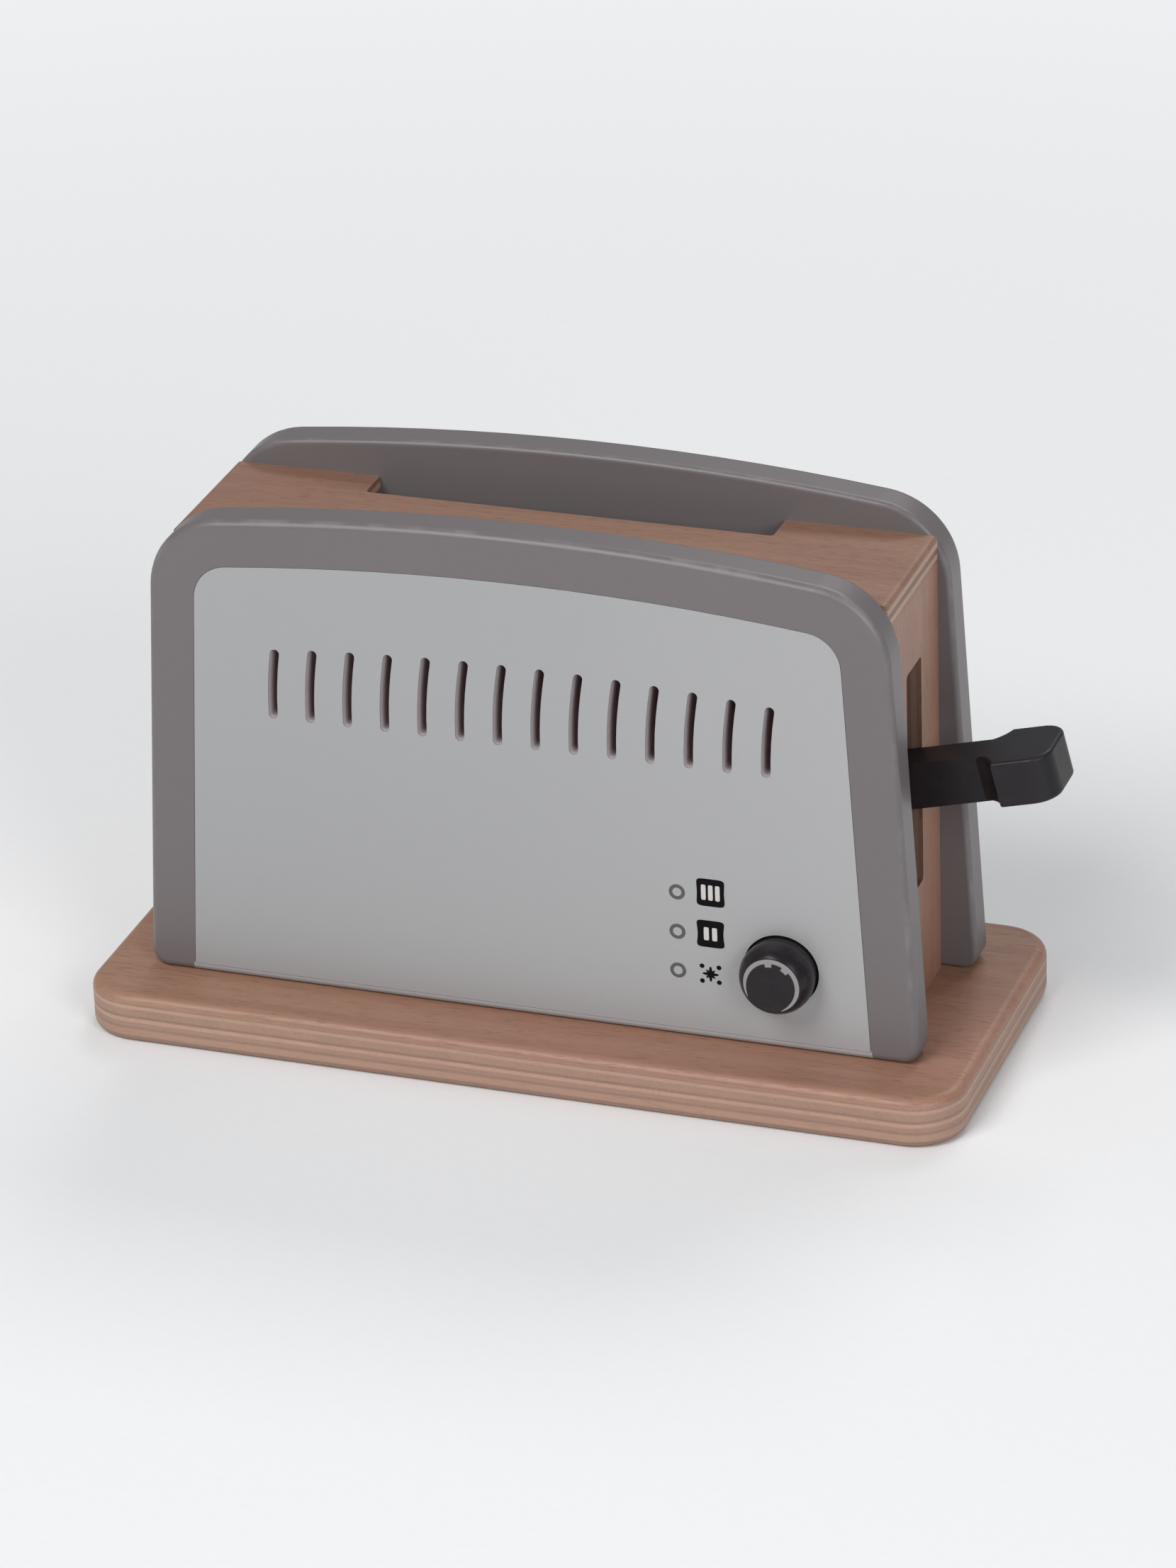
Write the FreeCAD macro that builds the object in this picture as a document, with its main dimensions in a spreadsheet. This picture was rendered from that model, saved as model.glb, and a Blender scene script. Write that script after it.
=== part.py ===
"""Pop-up toy toaster in plywood.

Two arched side panels stand on a base board, with two end walls and a notched top
board between them.  A lever pivots inside, leaves through a slot in the right end
wall and carries the shelf that lifts the toast.  A sprung push button on the front
frees the brake that holds the lever down.

Lengths are in millimetres.  X runs to the right towards the lever, the front faces
-Y and Z is up.  The origin is the centre of the underside of the base board.
"""
import FreeCAD
import Part
import Sketcher
import math
import os

Vector = FreeCAD.Vector
doc = FreeCAD.newDocument("toy_toaster")
sheet = doc.addObject("Spreadsheet::Sheet", "Sizes")


class Formula:
    """A length from the sheet, which can be bound to a property or read as a number."""

    def __init__(self, text):
        self.text = text

    def __str__(self):
        return self.text

    def __float__(self):
        return float(sheet.evalExpression(self.text))

    def join(self, sign, other):
        return Formula(f"({self.text} {sign} {other})")

    def __add__(self, other):
        return self.join("+", other)

    def __sub__(self, other):
        return self.join("-", other)

    def __mul__(self, other):
        return self.join("*", other)

    def __truediv__(self, other):
        return self.join("/", other)

    def __neg__(self):
        return Formula(f"(0 - {self.text})")


def cell(alias, number):
    """Write one driving dimension into the sheet and return its formula."""
    row = len(aliases) + 1
    aliases.append(alias)
    sheet.set(f"A{row}", alias)
    sheet.set(f"B{row}", str(number))
    sheet.setAlias(f"B{row}", alias)
    return Formula(f"Sizes.{alias}")


aliases = []

# Base board
base_length = cell("base_length", 190.0)
base_depth = cell("base_depth", 81.0)
base_thickness = cell("base_thickness", 11.0)
base_corner = cell("base_corner", 11.0)
base_round = cell("base_round", 2.2)

# Arched side panels
panel_margin = cell("panel_margin", 11.0)
panel_height = cell("panel_height", 107.7)
panel_thickness = cell("panel_thickness", 8.5)
panel_lean = cell("panel_lean", 3.4)
crown_radius = cell("crown_radius", 555.0)
panel_corner = cell("panel_corner", 17.0)
panel_heel = cell("panel_heel", 3.5)
panel_round = cell("panel_round", 1.8)
panel_ease = cell("panel_ease", 1.2)

# Silver sheet on the front panel
sheet_border = cell("sheet_border", 10.0)
sheet_corner = cell("sheet_corner", 8.0)
sheet_thickness = cell("sheet_thickness", 0.4)
sheet_gap = cell("sheet_gap", 0.1)

# Vents cut through the front panel
vent_pitch = cell("vent_pitch", 8.12)
vent_width = cell("vent_width", 2.0)
vent_floor = cell("vent_floor", 62.3)
vent_drop = cell("vent_drop", 29.2)
vent_bend = cell("vent_bend", 90.0)
VENT_COUNT = 14

# End walls and top board
core_inset = cell("core_inset", 8.0)
core_depth = cell("core_depth", 35.0)
wall_thickness = cell("wall_thickness", 8.0)
wall_height = cell("wall_height", 91.9)
board_thickness = cell("board_thickness", 6.0)
board_round = cell("board_round", 1.2)
notch_length = cell("notch_length", 88.0)
notch_depth = cell("notch_depth", 8.4)
notch_corner = cell("notch_corner", 1.0)
guide_thickness = cell("guide_thickness", 3.0)
guide_height = cell("guide_height", 22.0)

# Lever and its pivot
lever_width = cell("lever_width", 8.0)
lever_height = cell("lever_height", 9.9)
lever_reach = cell("lever_reach", 120.5)
lever_tail = cell("lever_tail", 9.0)
lever_tilt = cell("lever_tilt", 14.0)
lever_fall = cell("lever_fall", 12.5)
lever_rise = cell("lever_rise", 11.0)
lever_round = cell("lever_round", 0.8)
grip_width = cell("grip_width", 17.2)
grip_length = cell("grip_length", 12.0)
grip_flare = cell("grip_flare", 4.5)
grip_corner = cell("grip_corner", 5.0)
pivot_inset = cell("pivot_inset", 86.0)
pivot_rise = cell("pivot_rise", 30.3)
pivot_radius = cell("pivot_radius", 3.0)
pivot_socket = cell("pivot_socket", 4.0)
spacer_radius = cell("spacer_radius", 5.5)
slot_side_gap = cell("slot_side_gap", 1.2)
slot_end_gap = cell("slot_end_gap", 1.0)
slot_corner = cell("slot_corner", 1.0)

# Toast shelf on the lever
shelf_start = cell("shelf_start", 8.0)
shelf_length = cell("shelf_length", 46.0)
shelf_height = cell("shelf_height", 8.0)
shelf_gap = cell("shelf_gap", 0.6)
pin_radius = cell("pin_radius", 1.5)
pin_inset = cell("pin_inset", 7.0)
pin_bite = cell("pin_bite", 8.0)

# Spring that lifts the lever
lift_offset = cell("lift_offset", 30.0)
lift_radius = cell("lift_radius", 5.0)
lift_wire = cell("lift_wire", 1.1)
lift_seat_drop = cell("lift_seat_drop", 3.0)
lift_peg_radius = cell("lift_peg_radius", 3.0)
lift_peg_height = cell("lift_peg_height", 8.0)
lift_peg_socket = cell("lift_peg_socket", 5.0)
LIFT_TURNS = 7

# Push button, its stem and spring
button_inset = cell("button_inset", 20.9)
button_rise = cell("button_rise", 18.1)
button_radius = cell("button_radius", 7.6)
button_proud = cell("button_proud", 6.8)
button_tuck = cell("button_tuck", 1.0)
button_travel = cell("button_travel", 4.2)
button_face = cell("button_face", 6.1)
button_shoulder = cell("button_shoulder", 1.4)
button_wall = cell("button_wall", 1.6)
button_front = cell("button_front", 3.6)
button_ease = cell("button_ease", 0.5)
stem_radius = cell("stem_radius", 3.0)
stem_bite = cell("stem_bite", 2.2)
coil_radius = cell("coil_radius", 4.4)
coil_wire = cell("coil_wire", 0.7)
collar_radius = cell("collar_radius", 5.0)
collar_thickness = cell("collar_thickness", 2.0)
COIL_TURNS = 5

# Brake that holds the lever down
brake_reach = cell("brake_reach", 55.0)
tongue_length = cell("tongue_length", 10.0)
tongue_thickness = cell("tongue_thickness", 1.2)
tongue_drop = cell("tongue_drop", 17.0)
tongue_lap = cell("tongue_lap", 3.0)
rivet_radius = cell("rivet_radius", 1.0)
rivet_bite = cell("rivet_bite", 4.0)
rivet_head = cell("rivet_head", 0.8)
pad_thickness = cell("pad_thickness", 2.2)
bar_thickness = cell("bar_thickness", 4.0)
bar_height = cell("bar_height", 9.0)
bar_margin = cell("bar_margin", 1.4)
block_height = cell("block_height", 22.0)

# Dowels and screws
dowel_radius = cell("dowel_radius", 2.5)
dowel_bite = cell("dowel_bite", 4.0)
dowel_reach = cell("dowel_reach", 8.0)
dowel_low = cell("dowel_low", 20.0)
dowel_high = cell("dowel_high", 70.0)
peg_radius = cell("peg_radius", 2.0)
peg_bite = cell("peg_bite", 4.0)
peg_reach = cell("peg_reach", 8.0)
peg_across = cell("peg_across", 9.0)
screw_radius = cell("screw_radius", 1.75)
screw_head = cell("screw_head", 3.5)
screw_sink = cell("screw_sink", 0.4)
screw_bite = cell("screw_bite", 14.0)
wall_screw_across = cell("wall_screw_across", 10.0)
panel_screw_along = cell("panel_screw_along", 40.0)

# Clearances
running_gap = cell("running_gap", 0.08)
sliding_gap = cell("sliding_gap", 0.3)
fixing_gap = cell("fixing_gap", 0.05)
bore_gap = cell("bore_gap", 0.4)

doc.recompute()

# Places worked out from the driving dimensions
base_top = base_thickness
inner_face = core_depth / 2
outer_face = inner_face + panel_thickness
panel_foot = base_length - panel_margin * 2
half_core = panel_foot / 2 - core_inset
wall_middle = half_core - wall_thickness / 2
board_foot = base_top + wall_height
board_top = board_foot + board_thickness
notch_front = inner_face - notch_depth
pivot_x = half_core - pivot_inset
pivot_z = base_top + pivot_rise
half_lever = lever_width / 2
half_height = lever_height / 2
dowel_hole = dowel_radius + fixing_gap
peg_hole = peg_radius + fixing_gap
screw_hole = screw_radius + fixing_gap
stem_hole = stem_radius + fixing_gap
button_hole = button_radius + bore_gap
button_across = half_core - button_inset
button_z = base_top + button_rise
bore_depth = button_travel + button_tuck + sliding_gap
tongue_face = half_lever + tongue_thickness
pad_face = -half_lever + sliding_gap
bar_face = pad_face + pad_thickness
bar_back = bar_face + bar_thickness

# Shares and tolerances that describe a curve or a test, not a size
CLOSE = 0.01
FLARE_SAG = 0.12
SHOULDER_SWELL = 0.14

pieces = {}


def keep(label, piece):
    """Name a finished sub-part, and list it for writing."""
    piece.Label = label
    pieces[label] = piece
    return piece


def bind(piece, **formulas):
    """Tie properties of a piece to formulas; x, y and z stand for its position."""
    for name, formula in formulas.items():
        path = f"Placement.Base.{name}" if name in "xyz" else name
        piece.setExpression(path, str(formula))
    return piece


def block(label, length, width, height, x, y, z):
    """A box whose smallest corner lies at x, y, z."""
    piece = doc.addObject("Part::Box", label)
    return bind(piece, Length=length, Width=width, Height=height, x=x, y=y, z=z)


TURNS = {
    "+Z": FreeCAD.Rotation(),
    "+Y": FreeCAD.Rotation(Vector(1, 0, 0), -90),
    "-Y": FreeCAD.Rotation(Vector(1, 0, 0), 90),
}


def rod(label, radius, length, x, y, z, way="+Z"):
    """A round rod that starts at x, y, z and runs the given way."""
    piece = doc.addObject("Part::Cylinder", label)
    piece.Placement = FreeCAD.Placement(Vector(), TURNS[way])
    return bind(piece, Radius=radius, Height=length, x=x, y=y, z=z)


def joined(label, shapes):
    """Several solids fused into one."""
    piece = doc.addObject("Part::MultiFuse", label)
    piece.Shapes = shapes
    return piece


def group(label, shapes):
    """Several separate solids that share one node."""
    piece = doc.addObject("Part::Compound", label)
    piece.Links = shapes
    return piece


def cut(label, base, tools):
    """A piece with every tool taken away from it."""
    piece = doc.addObject("Part::Cut", label)
    piece.Base = base
    piece.Tool = tools[0] if len(tools) == 1 else joined(f"{label}_tools", tools)
    return piece


def edge_names(shape, wanted):
    """Names of the edges whose every sample point passes the test."""
    names = []
    for number, edge in enumerate(shape.Edges, 1):
        points = edge.discretize(5)
        if all(wanted(point) for point in points):
            names.append((number, edge))
    return names


def rounded(label, base, radius, wanted):
    """A primitive or boolean with the chosen edges rounded over."""
    doc.recompute()
    piece = doc.addObject("Part::Fillet", label)
    piece.Base = base
    size = float(radius)
    piece.Edges = [(number, size, size) for number, edge in edge_names(base.Shape, wanted)]
    return piece


def new_body(label, **place):
    """A body of its own at the given place."""
    body = doc.addObject("PartDesign::Body", f"{label}_body")
    bind(body, **place)
    return keep(label, body)


def profile(body, plane, label, loops, offset=None):
    """A sketch of closed loops on one of the body's own planes, shifted along its normal."""
    drawing = body.newObject("Sketcher::SketchObject", label)
    support = [one for one in body.Origin.OriginFeatures if one.Role == plane]
    drawing.AttachmentSupport = [(support[0], "")]
    drawing.MapMode = "FlatFace"
    if offset is not None:
        drawing.setExpression("AttachmentOffset.Base.z", str(offset))
    for loop in loops:
        first = drawing.GeometryCount
        for element in loop:
            drawing.addGeometry(element, False)
        close_loop(drawing, first, len(loop))
    return drawing


def close_loop(drawing, first, count):
    """Make each element of a loop share its end with the start of the next."""
    if count == 1:
        return
    for step in range(count):
        one = first + step
        other = first + (step + 1) % count
        pairs = [(i, j) for i in (1, 2) for j in (1, 2)]
        i, j = min(pairs, key=lambda pair: drawing.getPoint(one, pair[0]).distanceToPoint(
            drawing.getPoint(other, pair[1])))
        drawing.addConstraint(Sketcher.Constraint("Coincident", one, i, other, j))


def grow(body, drawing, length, label):
    """Pad a sketch along its normal."""
    pad = body.newObject("PartDesign::Pad", label)
    pad.Profile = drawing
    pad.setExpression("Length", str(length))
    drawing.Visibility = False
    doc.recompute()
    return pad


def sink(body, drawing, label, depth=None, forward=False):
    """Pocket a sketch into the body, all the way through where no depth is given."""
    before = body.Shape.Volume
    pocket = body.newObject("PartDesign::Pocket", label)
    pocket.Profile = drawing
    pocket.Reversed = forward
    if depth is None:
        pocket.Type = "ThroughAll"
    else:
        pocket.setExpression("Length", str(depth))
    doc.recompute()
    if body.Shape.Volume >= before:
        raise RuntimeError(f"{label} takes nothing away")
    return pocket


def soften(body, radius, label, wanted):
    """Round over the chosen edges of a body."""
    base = body.Tip
    names = [f"Edge{number}" for number, edge in edge_names(base.Shape, wanted)]
    fillet = body.newObject("PartDesign::Fillet", label)
    fillet.Base = (base, names)
    fillet.setExpression("Radius", str(radius))
    doc.recompute()
    return fillet


def ring(x, y, radius):
    """A full circle for a sketch."""
    return [Part.Circle(Vector(float(x), float(y), 0), Vector(0, 0, 1), float(radius))]


def polygon(points):
    """A closed loop of straight lines through points of formulas."""
    corners = [Vector(float(x), float(y), 0) for x, y in points]
    return [Part.LineSegment(a, b) for a, b in zip(corners, corners[1:] + corners[:1])]


def arc_through(a, middle, b):
    return Part.Arc(a, middle, b)


def crest(x, drop=0.0):
    """Height of the arched top above the panel's foot at x, less a drop."""
    bow = float(crown_radius)
    return float(panel_height) - bow + math.sqrt(bow ** 2 - x ** 2) - drop


def arched_outline(inset, corner, foot):
    """Outline of a side panel moved inwards by inset, standing at height foot.

    The sides lean in, the top is an arc about the crown's centre, and a corner arc
    touches both.
    """
    lean = math.radians(float(panel_lean))
    side = Vector(-math.sin(lean), math.cos(lean), 0)
    inward = Vector(-math.cos(lean), -math.sin(lean), 0)
    heel = Vector(float(panel_foot) / 2, 0, 0) + inward * inset
    bow = float(crown_radius) - inset
    middle = Vector(0, float(panel_height) - float(crown_radius), 0)
    start = heel + inward * corner - middle
    along = start.dot(side)
    reach = (bow - corner) ** 2 - start.dot(start) + along ** 2
    hub = middle + start + side * (math.sqrt(reach) - along)
    on_side = hub - inward * corner
    on_crown = middle + (hub - middle) * (bow / (bow - corner))
    outward = ((on_side - hub) + (on_crown - hub)).normalize()
    bulge = hub + outward * corner
    low = heel + side * ((foot - heel.y) / side.y)
    peak = middle + Vector(0, bow, 0)

    def flip(point):
        return Vector(-point.x, point.y, 0)

    return [
        Part.LineSegment(flip(low), low),
        Part.LineSegment(low, on_side),
        arc_through(on_side, bulge, on_crown),
        arc_through(on_crown, peak, flip(on_crown)),
        arc_through(flip(on_crown), flip(bulge), flip(on_side)),
        Part.LineSegment(flip(on_side), flip(low)),
    ]


def vent_loops():
    """The row of vents: each is a slot that bends to the right towards its top."""
    bow = float(vent_bend)
    half = float(vent_width) / 2
    floor = float(vent_floor)
    loops = []
    for number in range(VENT_COUNT):
        x = (number - (VENT_COUNT - 1) / 2) * float(vent_pitch)
        height = crest(x, float(vent_drop)) - floor
        turn = height / bow
        centre = Vector(x + bow, floor, 0)

        def spot(radius, angle):
            return centre + Vector(-radius * math.cos(angle), radius * math.sin(angle), 0)

        tip = spot(bow, turn) + Vector(math.sin(turn), math.cos(turn), 0) * half
        tail = spot(bow, 0) - Vector(0, half, 0)
        loops.append([
            arc_through(spot(bow - half, 0), spot(bow - half, turn / 2), spot(bow - half, turn)),
            arc_through(spot(bow - half, turn), tip, spot(bow + half, turn)),
            arc_through(spot(bow + half, turn), spot(bow + half, turn / 2), spot(bow + half, 0)),
            arc_through(spot(bow + half, 0), tail, spot(bow - half, 0)),
        ])
    return loops


def near(a, b):
    """Whether two lengths agree closely enough to be the same place."""
    return abs(a - float(b)) < CLOSE


def side_panel(label, inner_depth):
    """A blank side panel: the arched board with its edges rounded over."""
    body = new_body(label, y=inner_depth, z=base_top)
    outline = profile(body, "XZ_Plane", f"{label}_outline",
                      [arched_outline(0.0, float(panel_corner), 0.0)])
    grow(body, outline, panel_thickness, f"{label}_board")
    soften(body, panel_heel, f"{label}_heels",
           lambda p: near(p.z, 0) and near(abs(p.x), panel_foot / 2))
    return body


def screw_pockets(body, label, places):
    """Pilot holes for screws driven up into the foot of a body."""
    loops = [ring(x, y, screw_hole) for x, y in places]
    drawing = profile(body, "XY_Plane", f"{label}_pilots", loops)
    return sink(body, drawing, f"{label}_pilot_holes", screw_bite, forward=True)


# Front panel, with its silver sheet, vents and button bore
front = side_panel("front_side_panel", -inner_face)
soften(front, panel_round, "front_round", lambda p: near(p.y, -panel_thickness))
soften(front, panel_ease, "front_ease", lambda p: near(p.y, 0))
sheet_foot = float(panel_round) + float(sheet_gap)
recess = profile(front, "XZ_Plane", "sheet_recess_outline",
                 [arched_outline(float(sheet_border), float(sheet_corner), sheet_foot)],
                 panel_thickness)
sink(front, recess, "sheet_recess", sheet_thickness)
sink(front, profile(front, "XZ_Plane", "vent_outlines", vent_loops()), "vents", forward=True)
button_spot = (button_across, button_rise)
sink(front, profile(front, "XZ_Plane", "button_bore_outline",
                    [ring(*button_spot, button_hole)], panel_thickness), "button_bore", bore_depth)
sink(front, profile(front, "XZ_Plane", "stem_bore_outline",
                    [ring(*button_spot, stem_radius + running_gap)]), "stem_bore", forward=True)


def socket_loops():
    """Sockets in the inner face of a panel for the dowels of both end walls."""
    loops = []
    for x in (wall_middle, -wall_middle):
        for z in (dowel_low, dowel_high):
            loops.append(ring(x, z, dowel_hole))
    return loops


sink(front, profile(front, "XZ_Plane", "front_dowel_outline", socket_loops()),
     "front_dowel_sockets", dowel_bite, forward=True)
pivot_hole = pivot_radius + fixing_gap
sink(front, profile(front, "XZ_Plane", "front_pivot_outline",
                    [ring(pivot_x, pivot_rise, pivot_hole)]),
     "front_pivot_socket", pivot_socket, forward=True)
screw_middle = panel_thickness / 2
screw_pockets(front, "front_panel",
              [(x, -screw_middle) for x in (panel_screw_along, -panel_screw_along)])

# Rear panel, plain
rear = side_panel("rear_side_panel", outer_face)
soften(rear, panel_ease, "rear_ease", lambda p: near(p.y, -panel_thickness))
soften(rear, panel_round, "rear_round", lambda p: near(p.y, 0))
sink(rear, profile(rear, "XZ_Plane", "rear_dowel_outline", socket_loops(), panel_thickness),
     "rear_dowel_sockets", dowel_bite)
sink(rear, profile(rear, "XZ_Plane", "rear_pivot_outline",
                   [ring(pivot_x, pivot_rise, pivot_hole)], panel_thickness),
     "rear_pivot_socket", pivot_socket)
screw_pockets(rear, "rear_panel",
              [(x, -screw_middle) for x in (panel_screw_along, -panel_screw_along)])

# Silver sheet, flush in its recess
skin = new_body("front_face_sheet", y=sheet_thickness - outer_face, z=base_top)
skin_inset = float(sheet_border) + float(sheet_gap)
skin_corner = float(sheet_corner) - float(sheet_gap)
grow(skin, profile(skin, "XZ_Plane", "sheet_outline",
                   [arched_outline(skin_inset, skin_corner, sheet_foot + float(sheet_gap))]),
     sheet_thickness, "sheet_board")
sink(skin, profile(skin, "XZ_Plane", "sheet_vent_outlines", vent_loops()),
     "sheet_vents", forward=True)
sink(skin, profile(skin, "XZ_Plane", "sheet_button_outline", [ring(*button_spot, button_hole)]),
     "sheet_button_hole", forward=True)

# Base board, with countersunk screws driven up through it
plate = new_body("base_board")
half_length = base_length / 2
half_depth = base_depth / 2
grow(plate, profile(plate, "XY_Plane", "base_outline", [polygon([
    (-half_length, -half_depth), (half_length, -half_depth),
    (half_length, half_depth), (-half_length, half_depth)])]), base_thickness, "base_slab")
soften(plate, base_corner, "base_corners",
       lambda p: near(abs(p.x), half_length) and near(abs(p.y), half_depth))
soften(plate, base_round, "base_edges",
       lambda p: near(p.z, base_thickness) or near(p.z, 0))
lift_x = pivot_x + lift_offset
sink(plate, profile(plate, "XY_Plane", "spring_peg_outline",
                    [ring(lift_x, 0, lift_peg_radius + fixing_gap)], base_thickness),
     "spring_peg_socket", lift_peg_socket)
screw_places = [(x, y) for x in (wall_middle, -wall_middle)
                for y in (wall_screw_across, -wall_screw_across)]
panel_middle = inner_face + panel_thickness / 2
screw_places += [(x, y) for x in (panel_screw_along, -panel_screw_along)
                 for y in (panel_middle, -panel_middle)]
sink(plate, profile(plate, "XY_Plane", "screw_outlines",
                    [ring(x, y, screw_hole) for x, y in screw_places]),
     "screw_holes", forward=True)


def screw_shape(label, x, y, spare):
    """One countersunk screw, grown by a spare all round where it cuts its own seat."""
    head = doc.addObject("Part::Cone", f"{label}_head")
    bind(head, Radius1=screw_head + spare, Radius2=screw_radius + spare,
         Height=screw_head - screw_radius, x=x, y=y, z=screw_sink)
    shank = rod(f"{label}_shank", screw_radius + spare, base_top + screw_bite - screw_sink,
                x, y, screw_sink)
    return joined(label, [head, shank])


seats = []
screws = []
for number, (x, y) in enumerate(screw_places):
    seats.append(screw_shape(f"screw_seat_{number}", x, y, fixing_gap))
    mouth = screw_head + fixing_gap
    seats.append(rod(f"screw_mouth_{number}", mouth, screw_sink, x, y, Formula("0")))
    screws.append(screw_shape(f"screw_{number}", x, y, Formula("0")))
keep("base_board", cut("base_board_bored", plate, seats))
plate.Label = "base_board_blank"
keep("base_screws", group("screw_group", screws))


def end_wall(label, side, tools):
    """One end wall with its dowel, peg and screw holes."""
    x = half_core * side - wall_thickness / 2 * (1 + side)
    middle = wall_middle * side
    wall = block(f"{label}_blank", wall_thickness, core_depth, wall_height, x, -inner_face, base_top)
    for across in (-1, 1):
        way = "-Y" if across > 0 else "+Y"
        for z in (dowel_low, dowel_high):
            tools.append(rod(f"{label}_dowel_hole", dowel_hole, dowel_reach, middle,
                             inner_face * across, base_top + z, way))
        tools.append(rod(f"{label}_peg_hole", peg_hole, peg_reach, middle,
                         peg_across * across, board_foot - peg_reach))
        tools.append(rod(f"{label}_screw_hole", screw_hole, screw_bite, middle,
                         wall_screw_across * across, base_top))
    return keep(label, cut(f"{label}_bored", wall, tools))


# Right end wall, with the slot that lets the lever swing
down_tilt = math.radians(float(lever_tilt - lever_fall))
up_tilt = math.radians(float(lever_tilt + lever_rise))
inner_run = float(half_core - wall_thickness - pivot_x)
outer_run = float(half_core - pivot_x)
lever_half = float(half_height)
lowest = inner_run * math.tan(down_tilt) - lever_half / math.cos(down_tilt)
highest = outer_run * math.tan(up_tilt) + lever_half / math.cos(up_tilt)
slot_foot = float(pivot_z) + lowest - float(slot_end_gap)
slot_head = float(pivot_z) + highest + float(slot_end_gap)
half_slot = half_lever + slot_side_gap
slot = block("lever_slot", wall_thickness * 3, half_slot * 2, Formula(str(slot_head - slot_foot)),
             half_core - wall_thickness * 2, -half_slot, Formula(str(slot_foot)))
slot_tool = rounded("lever_slot_tool", slot, slot_corner,
                    lambda p: near(abs(p.y), half_slot) and
                    (near(p.z, slot_foot) or near(p.z, slot_head)))
end_wall("right_end_wall", 1, [slot_tool])
end_wall("left_end_wall", -1, [])

# Top board, notched along its rear edge for the toast
lid = new_body("top_board", z=board_foot)
half_notch = notch_length / 2
grow(lid, profile(lid, "XY_Plane", "board_outline", [polygon([
    (-half_core, -inner_face), (half_core, -inner_face), (half_core, inner_face),
    (half_notch, inner_face), (half_notch, notch_front), (-half_notch, notch_front),
    (-half_notch, inner_face), (-half_core, inner_face)])]), board_thickness, "board_slab")
soften(lid, board_round, "board_ends",
       lambda p: near(p.z, board_thickness) and near(abs(p.x), half_core))
soften(lid, notch_corner, "notch_corners",
       lambda p: near(abs(p.x), half_notch) and near(p.y, notch_front))
peg_places = [(x, y) for x in (wall_middle, -wall_middle) for y in (peg_across, -peg_across)]
sink(lid, profile(lid, "XY_Plane", "peg_outlines", [ring(x, y, peg_hole) for x, y in peg_places]),
     "peg_sockets", peg_bite, forward=True)

# Board under the notch that keeps the toast upright
keep("toast_guide_board", block(
    "toast_guide", (half_core - wall_thickness) * 2, guide_thickness, guide_height,
    wall_thickness - half_core, notch_front - guide_thickness, board_foot - guide_height))

# Dowels between walls and panels, and pegs under the top board
dowels = []
for x in (wall_middle, -wall_middle):
    for across in (-1, 1):
        way = "+Y" if across > 0 else "-Y"
        for z in (dowel_low, dowel_high):
            dowels.append(rod("panel_dowel", dowel_radius, dowel_reach + dowel_bite, x,
                              (inner_face - dowel_reach) * across, base_top + z, way))
keep("panel_dowels", group("panel_dowel_group", dowels))
pegs = [rod("top_peg", peg_radius, peg_reach + peg_bite, x, y, board_foot - peg_reach)
        for x, y in peg_places]
keep("top_dowels", group("top_peg_group", pegs))

# Pivot rod in blind sockets, with a spacer on each side of the lever
keep("pivot_dowel", rod("pivot_rod", pivot_radius, (inner_face + pivot_socket) * 2,
                        pivot_x, -(inner_face + pivot_socket), pivot_z, "+Y"))
spacer_length = inner_face - half_lever - sliding_gap
for label, start in (("front_pivot_spacer", -inner_face),
                     ("rear_pivot_spacer", half_lever + sliding_gap)):
    sleeve = rod(f"{label}_sleeve", spacer_radius, spacer_length, pivot_x, start, pivot_z, "+Y")
    hollow = rod(f"{label}_bore", pivot_hole, spacer_length, pivot_x, start, pivot_z, "+Y")
    keep(label, cut(f"{label}_tube", sleeve, [hollow]))


def on_lever(piece):
    """Turn a piece about the pivot into the lever's resting tilt."""
    piece.Placement = FreeCAD.Placement(Vector(), FreeCAD.Rotation(Vector(0, 1, 0), -float(lever_tilt)))
    return bind(piece, x=pivot_x, z=pivot_z)


def lever_group(label, shapes):
    """Pieces drawn along the lever, held together and turned with it."""
    return on_lever(keep(label, group(f"{label}_group", shapes)))


# Lever, drawn along X from its pivot: a plain arm that flares into a wide grip
half_grip = grip_width / 2
grip_start = lever_reach - grip_length
arm_end = grip_start - grip_flare


def flare(side):
    """The hollow curve from the arm to the grip on one side, from arm to grip."""
    a = Vector(float(arm_end), side * float(half_lever), 0)
    b = Vector(float(grip_start), side * float(half_grip), 0)
    across = b - a
    chord = across.Length
    sag = Vector(across.y, -across.x, 0).normalize() * (side * chord * FLARE_SAG)
    return a, (a + b) / 2 + sag, b


near_arm, near_bend, near_grip = flare(1)
far_arm, far_bend, far_grip = flare(-1)
tail_x = -float(lever_tail)
tip_x = float(lever_reach)
tail_near = Vector(tail_x, near_arm.y, 0)
tail_far = Vector(tail_x, far_arm.y, 0)
tip_near = Vector(tip_x, near_grip.y, 0)
tip_far = Vector(tip_x, far_grip.y, 0)
lever = new_body("lever")
grow(lever, profile(lever, "XY_Plane", "lever_outline", [[
    Part.LineSegment(tail_near, near_arm),
    arc_through(near_arm, near_bend, near_grip),
    Part.LineSegment(near_grip, tip_near),
    Part.LineSegment(tip_near, tip_far),
    Part.LineSegment(tip_far, far_grip),
    arc_through(far_grip, far_bend, far_arm),
    Part.LineSegment(far_arm, tail_far),
    Part.LineSegment(tail_far, tail_near),
]], -half_height), lever_height, "lever_bar")
soften(lever, grip_corner, "grip_corners",
       lambda p: near(p.x, lever_reach) and near(abs(p.y), half_grip))
soften(lever, lever_round, "lever_edges",
       lambda p: near(abs(p.z), half_height) and p.x > float(arm_end) - CLOSE)
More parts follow.
